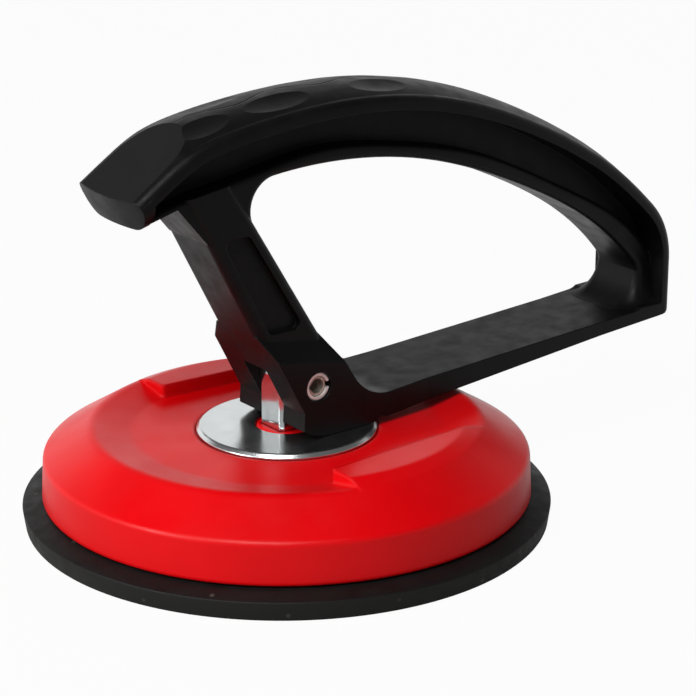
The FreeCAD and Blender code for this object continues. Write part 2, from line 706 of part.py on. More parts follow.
def lower_body(wide):
    """Cam legs, lower bar and heel: as wide as they are seen from above, flared from the strut."""
    ends = [(x, -y) for x, y in reversed(LOWER_PLAN)]
    plan = Part.makePolygon([V(x, y, 0) for x, y in LOWER_PLAN + ends + LOWER_PLAN[:1]])
    plan = Part.Face(plan).extrude(UP * 2 * PIN_HEIGHT)
    heel = [e for e in plan.Edges
            if e.BoundBox.ZLength > PIN_HEIGHT and abs(e.BoundBox.XMin - HEEL_TOP[0]) < 1e-3]
    plan = plan.makeFillet(BAND_EDGE_RADIUS, heel)
    low = LOWER_PLAN[0][0]
    knee = OPENING_BACK_BOTTOM[0]
    step_x = HEEL_TOP[0] - BAND_THICKNESS
    side = region([(low, low), (low, POCKET_BOTTOM), (knee, POCKET_BOTTOM), (knee - low / 2, HEEL_STEP),
                   (step_x, HEEL_STEP), (step_x, HEEL_OVERLAP),
                   (HEEL_TOP[0] + 1, HEEL_OVERLAP), (HEEL_TOP[0] + 1, low)])
    solid = wide.common(side).common(plan)
    for direction in (-1, 1):
        solid = solid.cut(flare_cut(direction))
    return solid


def post_slot():
    """Room for the post between the legs, through the handle's whole swing."""
    clear = POST_LENGTH_X / 2 + 0.5
    y = SLOT_HALF
    axis = V(0, -y, PIN_HEIGHT)
    eye = Part.makeCylinder(clear, 2 * y, axis, V(0, 1, 0))
    down = block((-clear, clear), (-y, y), (PIN_HEIGHT - 2 * FOOT_DEPTH, PIN_HEIGHT))
    ahead = block((-3 * FOOT_DEPTH, 0), (-y, y), (PIN_HEIGHT - 2 * FOOT_DEPTH, PIN_HEIGHT + clear - 1.5))
    return eye.fuse([down, ahead])


def handle_frame():
    """D-handle moulding: grooved grip, strut, cam legs and lower bar in one."""
    outline = frame_outline()
    opening = hand_opening(LEG_HALF + 1)
    web = slab(outline, WEB_HALF).cut(opening)
    lower = lower_body(slab(outline, LEG_HALF)).cut(opening)
    solid = joined([web, grip_band(), inner_flange(outline), strut().cut(opening), lower, grip_tip()])
    for cut in [ramp_cut(), nose_cut()]:
        solid = solid.cut(cut)
    for side, places in ((-1, SCALLOPS_NEAR), (1, SCALLOPS_FAR)):
        for x in places:
            solid = solid.cut(scallop(x, side))
    bore = Part.makeCylinder(PIN_RADIUS + PIN_SEAT_GAP, 4 * LEG_HALF,
                             V(0, -2 * LEG_HALF, PIN_HEIGHT), V(0, 1, 0))
    return tidy(solid.cut(post_slot()).cut(bore))


NODES = {
    "rubber_pad": rubber_pad,
    "pad_diaphragm": pad_diaphragm,
    "insert_plate": insert_plate,
    "lifting_post": lifting_post,
    "cover": cover,
    "wear_disc": wear_disc,
    "hinge_pin": hinge_pin,
    "inner_pin": inner_pin,
    "handle_frame": handle_frame,
}

os.makedirs("parts", exist_ok=True)
for name, make in NODES.items():
    shape = make()
    shape.exportStep(f"parts/{name}.step")
    box = shape.BoundBox
    print(name, shape.isValid(), len(shape.Solids), round(shape.Volume), [round(v, 1) for v in (
        box.XMin, box.XMax, box.YMin, box.YMax, box.ZMin, box.ZMax)])
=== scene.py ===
"""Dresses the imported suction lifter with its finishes, its rubber pieces and a plain studio."""

import logging
import math
from dataclasses import dataclass
from enum import Enum
from typing import Any, Mapping, Sequence

import bpy
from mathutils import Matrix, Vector


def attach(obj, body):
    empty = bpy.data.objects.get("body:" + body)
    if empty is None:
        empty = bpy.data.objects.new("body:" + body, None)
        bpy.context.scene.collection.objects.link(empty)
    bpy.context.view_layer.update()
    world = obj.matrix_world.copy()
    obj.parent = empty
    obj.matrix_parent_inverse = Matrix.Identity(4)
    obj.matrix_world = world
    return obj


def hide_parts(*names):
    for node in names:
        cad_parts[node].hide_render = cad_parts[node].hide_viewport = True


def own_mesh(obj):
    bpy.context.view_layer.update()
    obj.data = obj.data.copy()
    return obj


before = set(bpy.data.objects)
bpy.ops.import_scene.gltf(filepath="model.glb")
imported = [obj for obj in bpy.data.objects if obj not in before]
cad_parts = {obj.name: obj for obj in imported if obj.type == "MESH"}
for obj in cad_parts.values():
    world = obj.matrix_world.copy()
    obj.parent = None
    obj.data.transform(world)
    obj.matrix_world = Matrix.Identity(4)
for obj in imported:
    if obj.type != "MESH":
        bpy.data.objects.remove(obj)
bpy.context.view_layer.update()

log = logging.getLogger("suction_lifter")

MM = 0.001
WHITE = (1.0, 1.0, 1.0, 1.0)

# Noise values between which a cloud of the second colour, or a smear of gloss, comes in
CLOUD_RANGE = (0.35, 0.7)
SMEAR_RANGE = (0.3, 0.7)
SMEARS_PER_CLOUD = 2.3

# Octaves of each noise, and how much each octave adds to the grain
CLOUD_DETAIL = 4.0
SMEAR_DETAIL = 3.0
GRAIN_DETAIL = 2.0
GRAIN_ROUGHNESS = 0.55
EDGE_SAMPLES = 6

# Edges sharper than the first angle are rounded, and flatter than the second are smooth
CORNER_ANGLE = math.radians(25)
SMOOTH_ANGLE = math.radians(40)
CORNER_STEPS = 3

Profile = Sequence[tuple[float, float]]


def linear(hex_colour: str) -> tuple[float, float, float, float]:
    """Turns an sRGB hex colour into the linear colour that a shader takes.

    Args:
        hex_colour: Six hex digits, such as "d4060c".

    Returns:
        Red, green, blue and alpha, linear.
    """
    def channel(text: str) -> float:
        """Linear value of two hex digits."""
        value = int(text, 16) / 255
        return value / 12.92 if value <= 0.04045 else ((value + 0.055) / 1.055) ** 2.4

    red, green, blue = (channel(hex_colour[i:i + 2]) for i in (0, 2, 4))
    return red, green, blue, 1.0


def node(tree: bpy.types.NodeTree, kind: str, links: Mapping[Any, Any] | None = None,
         **settings: Any) -> bpy.types.Node:
    """Adds a shader node with its settings and its links.

    Args:
        tree: Node tree that gets the node.
        kind: Blender's type name of the node.
        links: Input socket, by name or number, to an output socket or a plain value.
        **settings: The node's own properties.

    Returns:
        The new node.
    """
    made = tree.nodes.new(kind)
    for name, value in settings.items():
        setattr(made, name, value)
    for socket, source in (links or {}).items():
        if isinstance(source, bpy.types.NodeSocket):
            tree.links.new(source, made.inputs[socket])
        else:
            made.inputs[socket].default_value = source
    return made


class Grain(Enum):
    """How the fine relief of a surface runs."""

    PEBBLED = (1.0, 1.0, 1.0)
    DRAWN = (1.0, 1.0, 0.04)
    TURNED = (0.0, 0.0, 0.0)


@dataclass(frozen=True)
class Finish:
    """One real finish: its colours, its gloss, and the relief that its making leaves.

    Attributes:
        name: Material's name.
        colour: Main colour, sRGB hex.
        second: Colour that clouds towards, sRGB hex.
        cloud_mm: Size of one cloud of the second colour.
        metallic: 1 for clean bare or plated metal, less where oil or oxide dulls it.
        smooth: Lowest roughness, where the surface is cleanest.
        rough: Highest roughness.
        grain: Direction of the fine relief.
        grain_mm: Distance from one grain to the next.
        relief_mm: Height of the grain.
        edge_mm: Radius at which light catches a moulded or pressed edge.
        specular: Share of the usual reflection at its IOR of 1.5, halved at 0.5.
    """

    name: str
    colour: str
    second: str
    cloud_mm: float
    metallic: float
    smooth: float
    rough: float
    grain: Grain
    grain_mm: float
    relief_mm: float
    edge_mm: float
    specular: float

    def coordinates(self, tree: bpy.types.NodeTree) -> bpy.types.NodeSocket:
        """Place on the piece, stretched or wound so that the grain runs as it should.

        Args:
            tree: The material's node tree.

        Returns:
            Vector socket in metres.
        """
        place = node(tree, "ShaderNodeTexCoord").outputs["Object"]
        if self.grain is not Grain.TURNED:
            return node(tree, "ShaderNodeMapping",
                        {"Vector": place, "Scale": self.grain.value}).outputs[0]
        apart = node(tree, "ShaderNodeSeparateXYZ", {0: place})
        flat = node(tree, "ShaderNodeCombineXYZ",
                    {0: apart.outputs[0], 1: apart.outputs[1]})
        radius = node(tree, "ShaderNodeVectorMath", {0: flat.outputs[0]}, operation="LENGTH")
        return node(tree, "ShaderNodeCombineXYZ",
                    {0: radius.outputs["Value"], 2: apart.outputs[2]}).outputs[0]

    def colouring(self, tree: bpy.types.NodeTree) -> bpy.types.NodeSocket:
        """Main colour clouded softly with the second one.

        Args:
            tree: The material's node tree.

        Returns:
            Colour socket.
        """
        place = node(tree, "ShaderNodeTexCoord").outputs["Object"]
        cloud = node(tree, "ShaderNodeTexNoise",
                     {"Vector": place, "Scale": 1 / (self.cloud_mm * MM),
                      "Detail": CLOUD_DETAIL})
        spread = node(tree, "ShaderNodeMapRange",
                      {"Value": cloud.outputs[0], "From Min": CLOUD_RANGE[0],
                       "From Max": CLOUD_RANGE[1]})
        mixed = node(tree, "ShaderNodeMix",
                     {0: spread.outputs[0], 6: linear(self.colour), 7: linear(self.second)},
                     data_type="RGBA")
        return mixed.outputs[2]

    def relief(self, tree: bpy.types.NodeTree) -> bpy.types.NodeSocket:
        """Height of the fine relief, in grain heights.

        Args:
            tree: The material's node tree.

        Returns:
            Value socket.
        """
        return node(tree, "ShaderNodeTexNoise",
                    {"Vector": self.coordinates(tree), "Scale": 1 / (self.grain_mm * MM),
                     "Detail": GRAIN_DETAIL, "Roughness": GRAIN_ROUGHNESS}).outputs[0]

    def material(self) -> bpy.types.Material:
        """Builds the finish as a node material.

        Returns:
            The material.
        """
        made = bpy.data.materials.new(self.name)
        made.use_nodes = True
        tree = made.node_tree
        tree.nodes.clear()
        smear = node(tree, "ShaderNodeTexNoise",
                     {"Vector": node(tree, "ShaderNodeTexCoord").outputs["Object"],
                      "Scale": SMEARS_PER_CLOUD / (self.cloud_mm * MM),
                      "Detail": SMEAR_DETAIL})
        gloss = node(tree, "ShaderNodeMapRange",
                     {"Value": smear.outputs[0], "From Min": SMEAR_RANGE[0],
                      "From Max": SMEAR_RANGE[1], "To Min": self.smooth,
                      "To Max": self.rough})
        edge = node(tree, "ShaderNodeBevel", {"Radius": self.edge_mm * MM},
                    samples=EDGE_SAMPLES)
        bump = node(tree, "ShaderNodeBump",
                    {"Height": self.relief(tree), "Distance": self.relief_mm * MM,
                     "Strength": 1.0, "Normal": edge.outputs[0]})
        shader = node(tree, "ShaderNodeBsdfPrincipled",
                      {"Base Color": self.colouring(tree), "Metallic": self.metallic,
                       "Roughness": gloss.outputs[0], "Normal": bump.outputs[0],
                       "Specular IOR Level": self.specular})
        node(tree, "ShaderNodeOutputMaterial", {"Surface": shader.outputs[0]})
        return made


@dataclass(frozen=True)
class PartedNylon(Finish):
    """Moulded nylon with the fine parting line that winds between the grip's scallops.

    Attributes:
        wave_mm: Distance from one bend of the line to the next bend the same way.
        wave_start_mm: Place along X of one bend toward +Y.
        swing_mm: How far the line swings to each side of the grip's middle.
        line_mm: Width of the line.
        line_depth: Depth of the line, in grain heights.
        reach_mm: Where the line ends, along X, on both sides.
        fade_mm: Length over which it fades in from each of these ends.
        crest_mm: Height above which the grip's crest lies.
        crest_fade_mm: Height over which the line fades in above that.
    """

    wave_mm: float
    wave_start_mm: float
    swing_mm: float
    line_mm: float
    line_depth: float
    reach_mm: tuple[float, float]
    fade_mm: tuple[float, float]
    crest_mm: float
    crest_fade_mm: float

    def relief(self, tree: bpy.types.NodeTree) -> bpy.types.NodeSocket:
        """Grain with the parting line cut into it.

        Args:
            tree: The material's node tree.

        Returns:
            Value socket, in grain heights.
        """
        grain = super().relief(tree)
        place = node(tree, "ShaderNodeSeparateXYZ",
                     {0: node(tree, "ShaderNodeTexCoord").outputs["Object"]})
        x, y, z = place.outputs
        turn = 2 * math.pi / (self.wave_mm * MM)
        phase = node(tree, "ShaderNodeMath",
                     {0: x, 1: turn, 2: -turn * self.wave_start_mm * MM},
                     operation="MULTIPLY_ADD")
        wave = node(tree, "ShaderNodeMath", {0: phase.outputs[0]}, operation="COSINE")
        off = node(tree, "ShaderNodeMath",
                   {0: wave.outputs[0], 1: -self.swing_mm * MM, 2: y}, operation="MULTIPLY_ADD")
        apart = node(tree, "ShaderNodeMath", {0: off.outputs[0]}, operation="ABSOLUTE")
        line = node(tree, "ShaderNodeMapRange",
                    {"Value": apart.outputs[0], "From Min": 0.0,
                     "From Max": self.line_mm * MM / 2, "To Min": self.line_depth,
                     "To Max": 0.0})
        masks = [
            (x, self.reach_mm[0], self.reach_mm[0] + self.fade_mm[0]),
            (x, self.reach_mm[1], self.reach_mm[1] - self.fade_mm[1]),
            (z, self.crest_mm, self.crest_mm + self.crest_fade_mm),
        ]
        cut = line.outputs[0]
        for value, none_at, full_at in masks:
            share = node(tree, "ShaderNodeMapRange",
                         {"Value": value, "From Min": none_at * MM, "From Max": full_at * MM})
            cut = node(tree, "ShaderNodeMath", {0: cut, 1: share.outputs[0]},
                       operation="MULTIPLY").outputs[0]
        return node(tree, "ShaderNodeMath", {0: grain, 1: cut},
                    operation="SUBTRACT").outputs[0]


@dataclass(frozen=True)
class SpeckedRubberWithPaintedSideLight(Finish):
    """Moulded rubber with fine specks of dust, whose upright edge is painted paler as painted
    side light.

    Attributes:
        side: Colour of the painted side light on the upright edge, sRGB hex.
        speck: Colour of a speck, sRGB hex.
        speck_mm: Distance between specks.
        speck_edge: Where a speck starts and is full, as shares of that distance.
        upright: Steepness at which the painted side light starts and is full: 1 is level.
    """

    side: str
    speck: str
    speck_mm: float
    speck_edge: tuple[float, float] = (0.13, 0.06)
    upright: tuple[float, float] = (0.55, 0.2)

    def colouring(self, tree: bpy.types.NodeTree) -> bpy.types.NodeSocket:
        """Clouded black with painted side light where the surface stands upright, and dust
        specks.

        Args:
            tree: The material's node tree.

        Returns:
            Colour socket.
        """
        base = super().colouring(tree)
        # Painted side light: faces that stand upright get the paler side colour, and level ones
        # keep the black.
        slope = node(tree, "ShaderNodeSeparateXYZ",
                     {0: node(tree, "ShaderNodeNewGeometry").outputs["Normal"]})
        level = node(tree, "ShaderNodeMath", {0: slope.outputs[2]}, operation="ABSOLUTE")
        upright = node(tree, "ShaderNodeMapRange",
                       {"Value": level.outputs[0], "From Min": self.upright[0],
                        "From Max": self.upright[1]})
        side_lit_colour = node(tree, "ShaderNodeMix",
                     {0: upright.outputs[0], 6: base, 7: linear(self.side)}, data_type="RGBA")
        place = node(tree, "ShaderNodeTexCoord").outputs["Object"]
        dots = node(tree, "ShaderNodeTexVoronoi",
                    {"Vector": place, "Scale": 1 / (self.speck_mm * MM)})
        near = node(tree, "ShaderNodeMapRange",
                    {"Value": dots.outputs["Distance"], "From Min": self.speck_edge[0],
                     "From Max": self.speck_edge[1]})
        dusted = node(tree, "ShaderNodeMix",
                      {0: near.outputs[0], 6: side_lit_colour.outputs[2], 7: linear(self.speck)},
                      data_type="RGBA")
        return dusted.outputs[2]


# Injection-moulded ABS: an even, strong red, glossy with a trace of orange peel.
COVER_ABS = Finish("moulded_abs_red", "d80008", "cf0006", 22.0, 0.0, 0.3, 0.4,
                   Grain.PEBBLED, 1.1, 0.006, 1.2, 0.22)
# Glass-filled nylon from a spark-eroded tool: near black, satin, finely pebbled.
HANDLE_NYLON = PartedNylon("glass_filled_nylon_black", "070707", "0b0b0c", 9.0, 0.0, 0.38,
                           0.5, Grain.PEBBLED, 0.55, 0.015, 0.4, 0.16, wave_mm=22.4,
                           wave_start_mm=-25.0, swing_mm=1.6, line_mm=0.7, line_depth=14.0,
                           reach_mm=(-28.0, 62.0), fade_mm=(4.0, 12.0), crest_mm=84.0,
                           crest_fade_mm=1.0)
# Bright zinc plate on a turned steel washer: pale, mirror-like, with faint rings.
DISC_ZINC = Finish("bright_zinc_turned", "e6eaea", "dce1e2", 9.0, 1.0, 0.2, 0.25,
                   Grain.TURNED, 0.5, 0.0012, 0.3, 0.5)
# Bright zinc plate on a drawn bar: mirror-like, with faint lines along the bar.
POST_ZINC = Finish("bright_zinc_drawn", "d9dbdc", "c6c9ca", 5.0, 1.0, 0.1, 0.2,
                   Grain.DRAWN, 0.4, 0.003, 0.25, 0.5)
# Rolled spring steel with a cut, deburred end: pale and half dull, so it glints softly.
PIN_SPRING_STEEL = Finish("rolled_spring_steel", "f6f5f2", "e2e0dc", 1.6, 0.5, 0.5, 0.65,
                          Grain.PEBBLED, 0.3, 0.006, 0.15, 0.5)
# The inner pin keeps its temper colour under oil: a warm grey, darker than the outer one.
PIN_TEMPERED_STEEL = Finish("oil_tempered_spring_steel", "cfc6ba", "9a9188", 1.2, 0.7,
                            0.4, 0.55, Grain.PEBBLED, 0.3, 0.006, 0.15, 0.5)
# Hot-rolled plate, left as it comes from the mill: grey and dull. It lies in the rubber.
PLATE_STEEL = Finish("mill_finished_steel", "8f9091", "7b7c7d", 7.0, 1.0, 0.35, 0.5,
                     Grain.PEBBLED, 0.6, 0.01, 0.3, 0.5)
# Compression-moulded rubber: soft black and dry, with specks of dust, and its upright edge
# painted paler as side light.
PAD_RUBBER = SpeckedRubberWithPaintedSideLight("moulded_rubber_black", "0a0909", "110f0f", 8.0, 0.0, 0.45, 0.62,
                         Grain.PEBBLED, 0.5, 0.012, 0.3, 0.2, "1a1a18", "3a3834", 5.2)


@dataclass
class Turning:
    """A round piece drawn up ring by ring from a circle, as on a lathe.

    Attributes:
        name: Piece's name.
        profile: Radius and height of each ring in millimetres, from the first circle on.
        closed: True joins the last ring to the first; False caps both ends.
        corner_mm: Rounding of the profile's corners.
        segments: Flats round the circle.
    """

    name: str
    profile: Profile
    closed: bool
    corner_mm: float
    segments: int = 160

    def build(self) -> bpy.types.Object:
        """Makes the mesh.

        Returns:
            The finished piece, at the origin.
        """
        bpy.ops.object.select_all(action="DESELECT")
        radius, height = self.profile[0]
        bpy.ops.mesh.primitive_circle_add(
            vertices=self.segments, radius=radius * MM, location=(0, 0, height * MM),
            fill_type="NOTHING" if self.closed else "NGON")
        piece = bpy.context.object
        piece.name = piece.data.name = self.name
        bpy.ops.object.transform_apply(location=True, rotation=True, scale=True)
        bpy.ops.object.mode_set(mode="EDIT")
        bpy.ops.mesh.select_all(action="SELECT")
        for next_radius, next_height in self.profile[1:]:
            self.draw_up(next_radius / radius, (next_height - height) * MM)
            radius, height = next_radius, next_height
        self.finish_ends()
        bpy.ops.mesh.select_all(action="SELECT")
        bpy.ops.mesh.normals_make_consistent(inside=False)
        bpy.ops.object.mode_set(mode="OBJECT")
        self.round_corners(piece)
        return piece

    def draw_up(self, scale: float, rise: float) -> None:
        """Extrudes the selected ring to the next one.

        Args:
            scale: Next radius over this one.
            rise: Height from this ring to the next, in metres.
        """
        bpy.ops.mesh.extrude_region_move(TRANSFORM_OT_translate={"value": (0, 0, rise)})
        bpy.ops.transform.resize(value=(scale, scale, 1), center_override=(0, 0, 0))

    def finish_ends(self) -> None:
        """Bridges the last ring to the first, or caps it."""
        if not self.closed:
            bpy.ops.mesh.edge_face_add()
            return
        bpy.ops.mesh.select_all(action="DESELECT")
        bpy.ops.mesh.select_mode(type="EDGE")
        bpy.ops.mesh.select_non_manifold()
        bpy.ops.mesh.bridge_edge_loops()

    def round_corners(self, piece: bpy.types.Object) -> None:
        """Rounds the profile's corners and smooths the round faces.

        Args:
            piece: The piece, active and in object mode.
        """
        bevel = piece.modifiers.new("corners", "BEVEL")
        bevel.width = self.corner_mm * MM
        bevel.segments = CORNER_STEPS
        bevel.limit_method = "ANGLE"
        bevel.angle_limit = CORNER_ANGLE
        bpy.ops.object.modifier_apply(modifier=bevel.name)
        bpy.ops.object.shade_smooth_by_angle(angle=SMOOTH_ANGLE)


@dataclass
class Pad:
    """Rubber suction pad: its seat ring with sealing lands, and its thin middle.

    All sizes but the last are in millimetres, and heights are from the sealing face.

    Attributes:
        radius: Pad's outer radius at its upper edge.
        edge_height: Height of that edge.
        draft: What the radius loses from there to the sealing face.
        seat_radius: Outer radius of the seat for the cover.
        seat_height: Height of the seat.
        seat_slope: Width over which the seat falls to its outer edge.
        seat_fall: How far it falls there.
        seat_dip: How much lower the seat is at its inner edge.
        land_radius: Inner radius of the sealing lands.
        relief: Height of the pad's underside above the sealing face, and of the grooves.
        ring_radius: Inner radius of the seat ring.
        groove: Width of a sealing groove at the face.
        grooves: Number of sealing grooves.
        ring_corner: Rounding of the ring's corners.
        middle_radius: Outer radius of the thin middle.
        flat_radius: Radius at which the middle starts to bend down.
        bend: How far the bend reaches in and out from there.
        bend_falls: What the underside and the top have fallen at the bend's outer end.
        middle_bottom: Height of the middle's underside.
        middle_top: Height of its top.
        middle_sink: How far the middle's outer edge lies under the seat.
        middle_corner: Rounding of the middle's corners.
        pocket_radius: Radius of the pocket for the post.
        pocket_floor: Height of its floor.
        squashed_share: Share of its height that the middle keeps when the post is down; not used.
    """

    radius: float = 60.0
    edge_height: float = 4.3
    draft: float = 0.6
    seat_radius: float = 55.8
    seat_height: float = 5.9
    seat_slope: float = 3.0
    seat_fall: float = 0.5
    seat_dip: float = 1.0
    land_radius: float = 52.0
    relief: float = 0.8
    ring_radius: float = 46.3
    groove: float = 1.2
    grooves: int = 3
    ring_corner: float = 0.25
    middle_radius: float = 46.0
    flat_radius: float = 30.0
    bend: tuple[float, float] = (4.0, 3.0)
    bend_falls: tuple[float, float] = (0.25, 0.15)
    middle_bottom: float = 3.2
    middle_top: float = 6.2
    middle_sink: float = 1.3
    middle_corner: float = 0.4
    pocket_radius: float = 5.9
    pocket_floor: float = 3.9
    squashed_share: float = 0.5

    def ring_profile(self) -> Profile:
        """Seat ring's section: up the inside, out over the seat, in under the lands.

        Returns:
            Radius and height of each corner.
        """
        pitch = (self.radius - self.land_radius) / (self.grooves + 1)
        lands: list[tuple[float, float]] = []
        for i in reversed(range(self.grooves)):
            middle = self.land_radius + pitch * (i + 1)
            lands += [(middle + self.groove / 2, 0.0), (middle, self.relief),
                      (middle - self.groove / 2, 0.0)]
        return [
            (self.ring_radius, self.relief),
            (self.ring_radius, self.seat_height - self.seat_dip),
            (self.seat_radius - self.seat_slope, self.seat_height),
            (self.seat_radius, self.seat_height - self.seat_fall),
            (self.radius, self.edge_height),
            (self.radius - self.draft, 0.0),
            *lands,
            (self.land_radius, 0.0),
            (self.land_radius, self.relief),
        ]

    def middle_profile(self) -> Profile:
        """Section of the thin middle, from its underside out, up and back to its pocket.

        Returns:
            Radius and height of each corner.
        """
        bend_start = self.flat_radius - self.bend[0]
        bend_end = self.flat_radius + self.bend[1]
        return [
            (bend_start, self.middle_bottom),
            (bend_end, self.middle_bottom - self.bend_falls[0]),
            (self.middle_radius, self.relief),
            (self.middle_radius, self.seat_height - self.middle_sink),
            (bend_end, self.middle_top - self.bend_falls[1]),
            (bend_start, self.middle_top),
            (self.pocket_radius, self.middle_top),
            (self.pocket_radius, self.pocket_floor),
        ]

    def build(self) -> None:
        """Makes both rubber pieces in place of their plain solids."""
        rubber = PAD_RUBBER.material()
        ring = Turning("pad_rim_rubber", self.ring_profile(), True,
                       self.ring_corner).build()
        middle = Turning("pad_middle_rubber", self.middle_profile(), False,
                         self.middle_corner).build()
        for piece in (ring, middle):
            piece.data.materials.append(rubber)
            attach(piece, "base")
        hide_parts("rubber_pad")
        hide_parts("pad_diaphragm")
        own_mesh(middle)
        log.info("pad: %s and %s", ring.name, middle.name)


@dataclass
class FlangeRoot:
    """Moulded hollow that runs the handle's inner flange out into its bar, at the heel.

    It starts at the flange's foot, which has rounded corners in plan, and falls away
    round it in a quarter ellipse down to the bar's top. Millimetres, part's frame.

    Attributes:
        wall_x: Place of the flange's inner wall.
        band_x: Where the flange's sides run into the grip's band.
        half_width: Half the flange's width.
        corner: Radius of the foot's corners in plan.
        bar_z: Height of the bar's top at the wall.
        bar_slope: Rise of the bar's top along X.
        height: Height of the hollow against the flange.
        wall_radius: Its reach along the bar from the wall.
        side_radius: Its reach from the flange's sides.
        tuck: How far its rims lie under the handle's surface.
        steps: Grid lines round the foot and down the hollow.
    """

    wall_x: float = 101.1
    band_x: float = 105.4
    half_width: float = 7.5
    corner: float = 1.4
    bar_z: float = 31.3
    bar_slope: float = 0.0446
    height: float = 9.5
    wall_radius: float = 8.5
    side_radius: float = 3.7
    tuck: float = 0.25
    steps: tuple[int, int] = (96, 20)

    def foot(self, share: float) -> tuple[Vector, Vector, float]:
        """Point on the flange's foot.

        Args:
            share: 0 to 1, from the band on one side round the wall to the other side.

        Returns:
            The point and its outward direction, in plan, and the hollow's reach there.
        """
        side = math.copysign(1.0, share - 0.5)
        rest = 2 * abs(share - 0.5)
        flat = self.half_width - self.corner
        bend = self.corner * math.pi / 2
        run = self.band_x - self.wall_x - self.corner
        along = rest * (flat + bend + run)
        turn = min(max((along - flat) / bend, 0.0), 1.0)
        angle = turn * math.pi / 2
        out = Vector((-math.cos(angle), side * math.sin(angle), 0))
        centre = Vector((self.wall_x + self.corner, side * flat, 0))
        point = centre + out * self.corner
        point.y -= side * max(flat - along, 0.0)
        point.x += max(along - flat - bend, 0.0)
        eased = turn * turn * (3 - 2 * turn)
        return point, out, self.wall_radius + (self.side_radius - self.wall_radius) * eased

    def surface(self, share: float, fall: float) -> Vector:
        """Point of the hollow's surface.

        Args:
            share: 0 to 1 round the foot.
            fall: 0 at the bar to 1 at the flange.

        Returns:
            The point in millimetres, both rims tucked a little under the handle's surface.
        """
        point, out, widest = self.foot(share)
        angle = fall * math.pi / 2
        reach = widest * (1 - math.sin(angle))
        rise = self.height * (1 - math.cos(angle))
        if fall <= 0:
            reach, rise = widest + self.tuck, -self.tuck
        elif fall >= 1:
            reach, rise = -self.tuck, self.height + self.tuck
        place = point + out * reach
        slope = (place.x - self.wall_x) * self.bar_slope
        return Vector((place.x, place.y, self.bar_z + slope + rise))

    def build(self) -> None:
        """Makes the hollow as a thin closed shell on the handle, in the handle's finish."""
        bpy.ops.object.select_all(action="DESELECT")
        bpy.ops.mesh.primitive_grid_add(
            x_subdivisions=self.steps[0], y_subdivisions=self.steps[1], size=1)
        piece = bpy.context.object
        piece.name = piece.data.name = "flange_root"
        # The grid reaches half a unit to each side of its middle
        for vertex in piece.data.vertices:
            vertex.co = self.surface(vertex.co.x + 0.5, vertex.co.y + 0.5) * MM
        bpy.ops.object.mode_set(mode="EDIT")
        bpy.ops.mesh.select_all(action="SELECT")
        bpy.ops.mesh.solidify(thickness=-2 * self.tuck * MM)
        bpy.ops.mesh.normals_make_consistent(inside=False)
        bpy.ops.object.mode_set(mode="OBJECT")
        bpy.ops.object.shade_smooth_by_angle(angle=SMOOTH_ANGLE)
        piece.data.materials.append(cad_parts["handle_frame"].data.materials[0])
        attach(piece, "handle")
        log.info("handle: %s", piece.name)


@dataclass
class Hardware:
    """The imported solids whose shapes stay, each in its own finish.

    Attributes:
        finishes: Each solid's name with its finish.
    """

    finishes: tuple[tuple[str, Finish], ...] = (
        ("cover", COVER_ABS),
        ("wear_disc", DISC_ZINC),
        ("lifting_post", POST_ZINC),
        ("insert_plate", PLATE_STEEL),
        ("handle_frame", HANDLE_NYLON),
        ("hinge_pin", PIN_SPRING_STEEL),
        ("inner_pin", PIN_TEMPERED_STEEL),
    )

    def build(self) -> None:
        """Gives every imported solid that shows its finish."""
        for name, finish in self.finishes:
            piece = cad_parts[name]
            piece.data.materials.clear()
            piece.data.materials.append(finish.material())
            log.info("%s: %s", name, finish.name)


@dataclass(frozen=True)
class Softbox:
    """One square studio lamp.

    Attributes:
        name: Lamp's name.
        place: Where it hangs, in metres from the object's middle: right, away and up
            as the camera sees it.
        side: Length of its side in metres.
        watts: Its power.
    """

    name: str
    place: tuple[float, float, float]
    side: float
    watts: float


